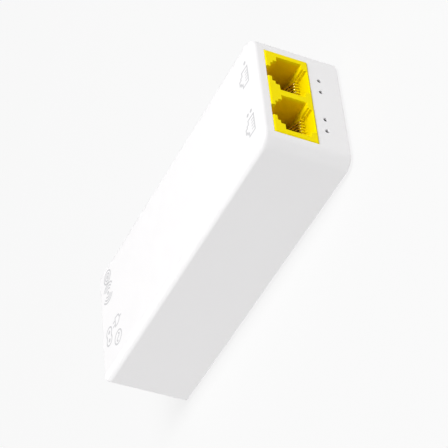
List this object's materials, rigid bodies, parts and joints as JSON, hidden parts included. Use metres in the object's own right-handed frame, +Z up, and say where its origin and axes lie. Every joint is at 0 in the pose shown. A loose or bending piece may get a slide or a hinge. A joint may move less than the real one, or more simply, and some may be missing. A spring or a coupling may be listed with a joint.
{
  "type": "powerline adapter",
  "caption": "Slim inline box with two modular network jacks and indicator holes at one end, a mains inlet and a pairing button at the other, on low rubber feet.",
  "frame": {"origin": "middle of the footprint, on the plane that the rubber feet stand on", "axes": "+Z up through the plain top face, +Y along the casing towards the mains inlet, +X to the right when looking into the network ports"},
  "size_m": [0.038, 0.0952, 0.0246],
  "materials": {
    "shell_plastic": "fine matte, near white",
    "button_plastic": "fine matte, light grey",
    "jack_plastic": "moulded, satin, bright yellow",
    "carrier_plastic": "moulded, satin, dark ochre",
    "inlet_plastic": "moulded, satin, near white",
    "smoked_plastic": "smoked, translucent",
    "lamp": "milky, clear",
    "rubber": "matte black",
    "zinc_steel": "zinc plated",
    "nickel": "nickel plated brass, polished",
    "contact_gold": "gold plated spring wire",
    "board": "green solder mask with copper tracks",
    "sheet": "translucent insulating film",
    "black_moulding": "black, matte",
    "grey_moulding": "dark grey, matte",
    "white_moulding": "white, satin",
    "fuse_brown": "brown, satin",
    "thermistor_green": "green lacquer",
    "varistor_blue": "blue epoxy",
    "film_yellow": "yellow box",
    "film_red": "dark red box",
    "can_sleeve": "dark sleeve over an aluminium can",
    "ferrite": "fired ferrite, matte",
    "magnet_wire": "lacquered copper wire",
    "coil_tape": "yellow polyester tape",
    "coil_box": "dark olive moulding",
    "tin": "tinned copper",
    "thermal_grey": "soft silicone pad",
    "fin_aluminium": "extruded, anodised clear",
    "ceramic": "tan ceramic with tinned ends",
    "disc_blue": "blue lacquer"
  },
  "bodies": {
    "housing": {"top_casing": "shell_plastic", "bottom_cover": "shell_plastic", "cover_screws": "zinc_steel", "rubber_feet": "rubber", "insulation_sheet": "sheet", "circuit_board": "board", "jack_housing": "jack_plastic", "port_1_contacts": "contact_gold", "port_2_contacts": "contact_gold", "contact_carriers": "carrier_plastic", "light_guides": "smoked_plastic", "port_lamps": "lamp", "inlet_housing": "inlet_plastic", "inlet_pins": "nickel", "switch_body": "black_moulding", "switch_frame": "zinc_steel", "fuse": "fuse_brown", "thermistor": "thermistor_green", "varistor": "varistor_blue", "filter_capacitor": "film_yellow", "choke_core": "ferrite", "choke_windings": "magnet_wire", "bridge_rectifier": "black_moulding", "reservoir_capacitor": "can_sleeve", "power_controller_chip": "black_moulding", "transformer_core": "ferrite", "transformer_bobbin": "grey_moulding", "transformer_windings": "coil_tape", "transformer_pins": "tin", "optocoupler": "white_moulding", "output_diode": "black_moulding", "output_capacitors": "can_sleeve", "power_coil": "ferrite", "bridging_capacitor": "disc_blue", "coupling_capacitor": "film_red", "line_coil": "coil_box", "modem_chip": "black_moulding", "thermal_pad": "thermal_grey", "heatsink": "fin_aluminium", "port_chips": "black_moulding", "memory_chip": "black_moulding", "flash_chip": "black_moulding", "crystal": "tin", "port_filters": "black_moulding", "chip_passives": "ceramic"},
    "button": {"pair_button": "button_plastic"},
    "plunger": {"switch_plunger": "black_moulding"}
  },
  "joints": [
    {"name": "pair_button_press", "type": "slide", "parent": "housing", "child": "button", "axis": [0, -1, 0], "range_m": [0, 0.0004], "stiffness_N_per_m": 4000},
    {"name": "switch_plunger_press", "type": "slide", "parent": "housing", "child": "plunger", "axis": [0, -1, 0], "range_m": [0, 0.0004]}
  ],
  "couplings": [
    {"joint": "switch_plunger_press", "follows": "pair_button_press", "ratio": 1}
  ]
}
